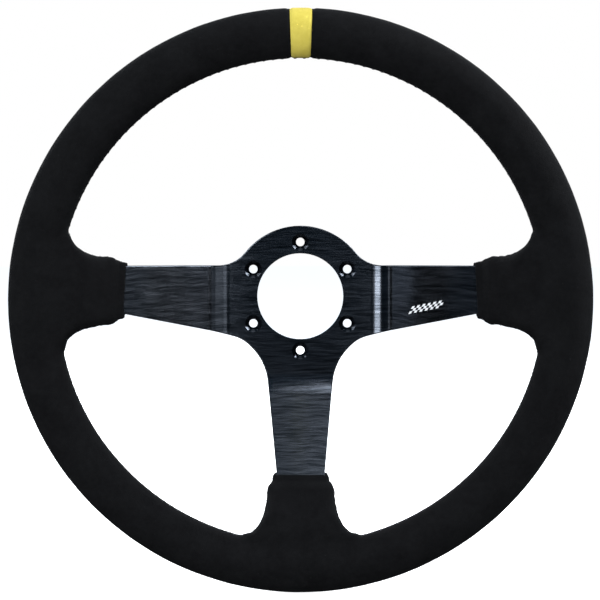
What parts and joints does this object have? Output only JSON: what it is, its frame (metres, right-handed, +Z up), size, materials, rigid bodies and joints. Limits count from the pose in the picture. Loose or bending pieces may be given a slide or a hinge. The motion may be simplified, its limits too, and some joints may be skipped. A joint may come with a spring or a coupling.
{
  "type": "motorsport steering wheel",
  "caption": "Dished three-spoke steering wheel: suede-covered round grip with a top centring band, and a bent, brushed black aluminium spoke plate with a bolt-circle hub.",
  "frame": {"origin": "centre of the bolt circle, on the hub plate's back face, which sits on the steering boss", "axes": "+X to the driver's right, +Y away from the driver along the steering column, +Z up with the wheel straight ahead"},
  "size_m": [0.35, 0.0895, 0.35],
  "materials": {
    "anodised_plate": "brushed, black anodised",
    "bare_aluminium": "mill finish",
    "grip_foam": "moulded polyurethane foam",
    "black_suede": "napped suede",
    "yellow_suede": "fine smooth-napped leather",
    "sewing_thread": "waxed polyester thread"
  },
  "bodies": {
    "root": {"spoke_plate": "anodised_plate", "rim_hoop": "bare_aluminium", "spoke_rivets": "bare_aluminium", "grip_foam": "grip_foam", "spoke_pad_left": "grip_foam", "spoke_pad_right": "grip_foam", "spoke_pad_bottom": "grip_foam", "suede_cover": "black_suede", "marker_band": "yellow_suede", "seam_thread_upper_left": "sewing_thread", "seam_thread_upper_right": "sewing_thread", "seam_thread_lower_left": "sewing_thread", "seam_thread_lower_right": "sewing_thread", "marker_thread": "sewing_thread"}
  },
  "joints": []
}
